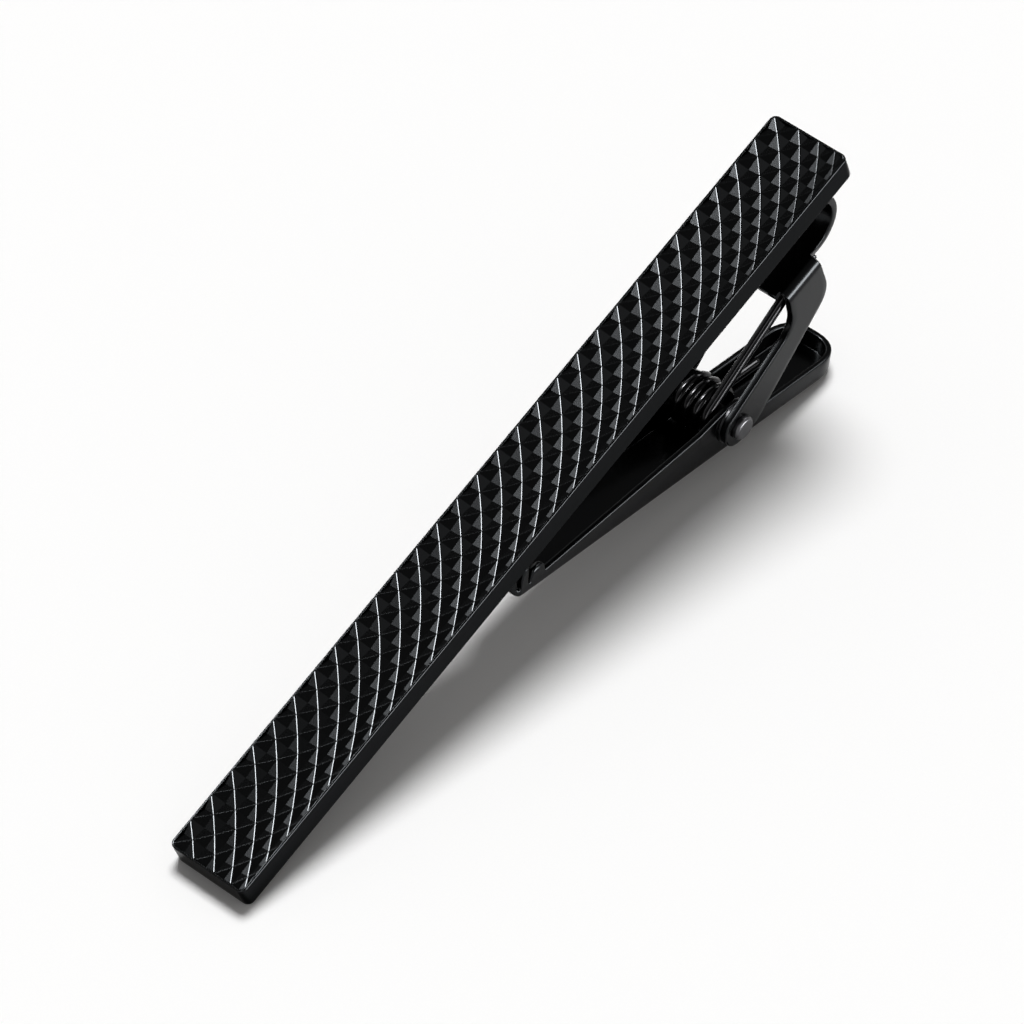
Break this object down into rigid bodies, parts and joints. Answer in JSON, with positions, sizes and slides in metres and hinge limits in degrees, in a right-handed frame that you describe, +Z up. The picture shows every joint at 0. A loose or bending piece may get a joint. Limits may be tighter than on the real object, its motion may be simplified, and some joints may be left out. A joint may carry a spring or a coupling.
{
  "type": "tie clip",
  "caption": "Slim sprung tie clip: a straight bar faced with sunk diamonds, a folded bracket on its back and a toothed lever that a coil spring holds shut.",
  "frame": {"origin": "middle of the bounding box, on the surface that the clip lies on", "axes": "+Z up from that surface, +X towards the hinge end of the bar, +Y towards the far long edge; the bar leans 18.2 degrees, its front up"},
  "size_m": [0.059, 0.0068, 0.0207],
  "materials": {
    "black_plate": "semi-gloss black plated brass",
    "black_face": "semi-gloss black plated, pressed in diamonds",
    "spring_wire": "black plated spring steel"
  },
  "bodies": {
    "lever": {"clip_lever": "black_plate"},
    "bar": {"bar": "black_plate", "face_plate": "black_face", "hinge_bracket": "black_plate", "pivot_rivet": "black_plate", "near_spacer": "black_plate", "far_spacer": "black_plate", "torsion_spring": "spring_wire"}
  },
  "joints": [
    {"name": "jaw_hinge", "type": "hinge", "parent": "lever", "child": "bar", "pos_m": [0.01794, 0, 0.00411], "axis": [0, 1, 0], "range_deg": [0, 30], "stiffness_Nm_per_rad": 0.0015, "springref_deg": -57.3, "deforming": ["torsion_spring"]}
  ]
}
